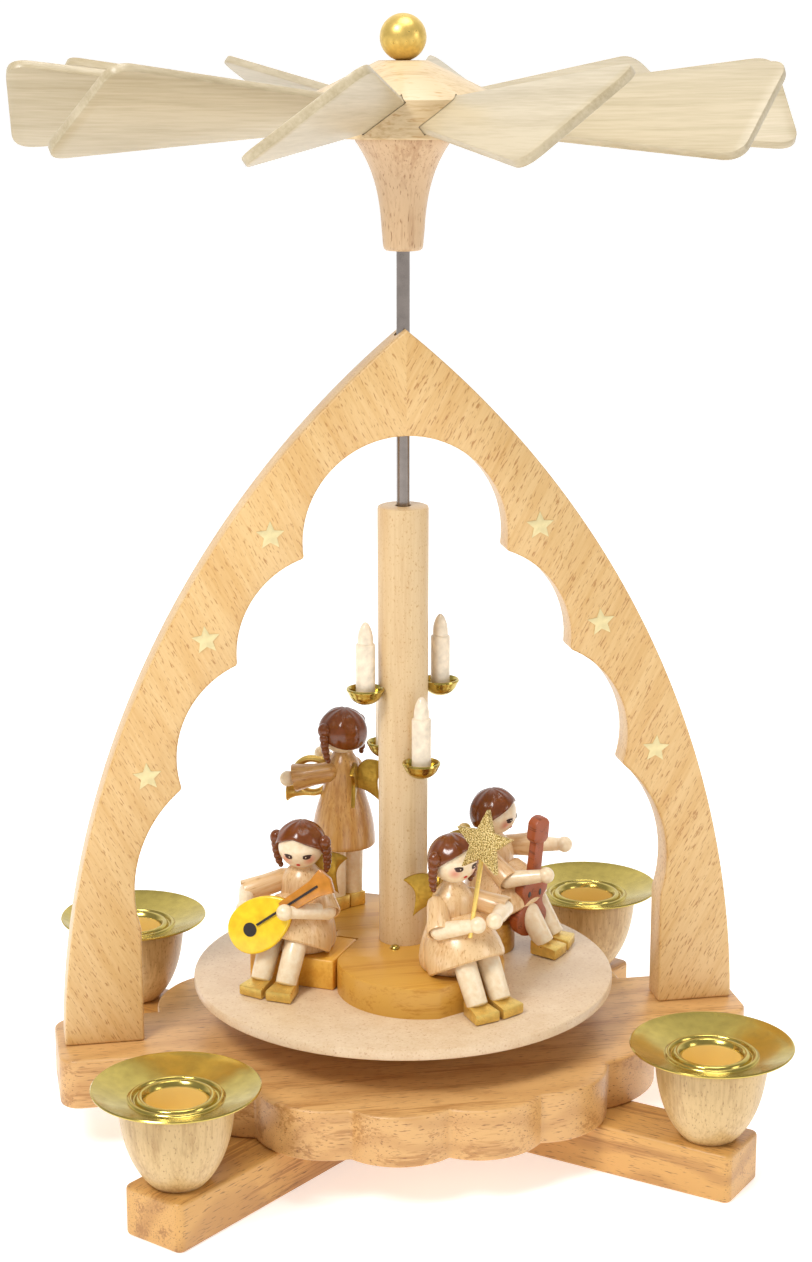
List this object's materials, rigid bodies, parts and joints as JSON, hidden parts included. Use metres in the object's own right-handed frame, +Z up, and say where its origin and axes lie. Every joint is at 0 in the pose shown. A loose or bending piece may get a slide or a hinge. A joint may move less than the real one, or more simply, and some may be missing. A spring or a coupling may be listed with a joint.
{
  "type": "christmas pyramid",
  "caption": "Wooden carousel on a scalloped base with candle cups and a pointed arch; rising warm air turns slanted blades, a spindle and a turntable with angel musicians.",
  "frame": {"origin": "on the floor under the spindle, at the middle of the crossed foot bars", "axes": "+Z up along the spindle, +X across the arch, -Y towards the viewer"},
  "size_m": [0.1876, 0.1874, 0.28],
  "materials": {
    "beech": "natural, oiled",
    "maple": "natural",
    "limewood": "natural",
    "yellow_stain": "stained",
    "orange_stain": "stained",
    "figure_wood": "natural, varnished",
    "hair_paint": "gloss paint",
    "lute_paint": "gloss paint",
    "viol_paint": "stained",
    "candle_paint": "gloss paint",
    "brass": "polished",
    "gold_paint": "gold",
    "steel": "bright drawn"
  },
  "bodies": {
    "stand": {"foot_bar_lower": "beech", "foot_bar_upper": "beech", "base_plate": "beech", "bearing_cup": "brass", "arch_half_left": "maple", "arch_half_right": "maple", "guide_bush": "brass", "candle_cup_back_right": "limewood", "candle_cup_back_left": "limewood", "candle_cup_front_left": "limewood", "candle_cup_front_right": "limewood", "drip_tray_back_right": "brass", "drip_tray_back_left": "brass", "drip_tray_front_left": "brass", "drip_tray_front_right": "brass"},
    "carousel": {"spindle": "steel", "turntable_disc": "limewood", "riser_block": "yellow_stain", "stool_block": "orange_stain", "column": "maple", "saucer_1": "brass", "saucer_2": "brass", "saucer_3": "brass", "saucer_4": "brass", "mini_candle_1": "candle_paint", "mini_candle_2": "candle_paint", "mini_candle_3": "candle_paint", "mini_candle_4": "candle_paint", "rotor_neck": "beech", "rotor_hub": "limewood", "blade_01": "limewood", "blade_02": "limewood", "blade_03": "limewood", "blade_04": "limewood", "blade_05": "limewood", "blade_06": "limewood", "blade_07": "limewood", "blade_08": "limewood", "blade_09": "limewood", "blade_10": "limewood", "finial_ball": "gold_paint", "angel_lute_body": "figure_wood", "angel_lute_hair": "hair_paint", "angel_lute_wings": "gold_paint", "angel_lute_lute": "lute_paint", "angel_star_body": "figure_wood", "angel_star_hair": "hair_paint", "angel_star_wings": "gold_paint", "angel_star_star": "gold_paint", "angel_viol_body": "figure_wood", "angel_viol_hair": "hair_paint", "angel_viol_wings": "gold_paint", "angel_viol_viol": "viol_paint", "angel_horn_body": "figure_wood", "angel_horn_hair": "hair_paint", "angel_horn_wings": "gold_paint", "angel_horn_horn": "gold_paint"}
  },
  "joints": [
    {"name": "carousel_spin", "type": "hinge", "parent": "stand", "child": "carousel", "pos_m": [0, 0, 0.0205], "axis": [0, 0, 1], "continuous": true}
  ]
}
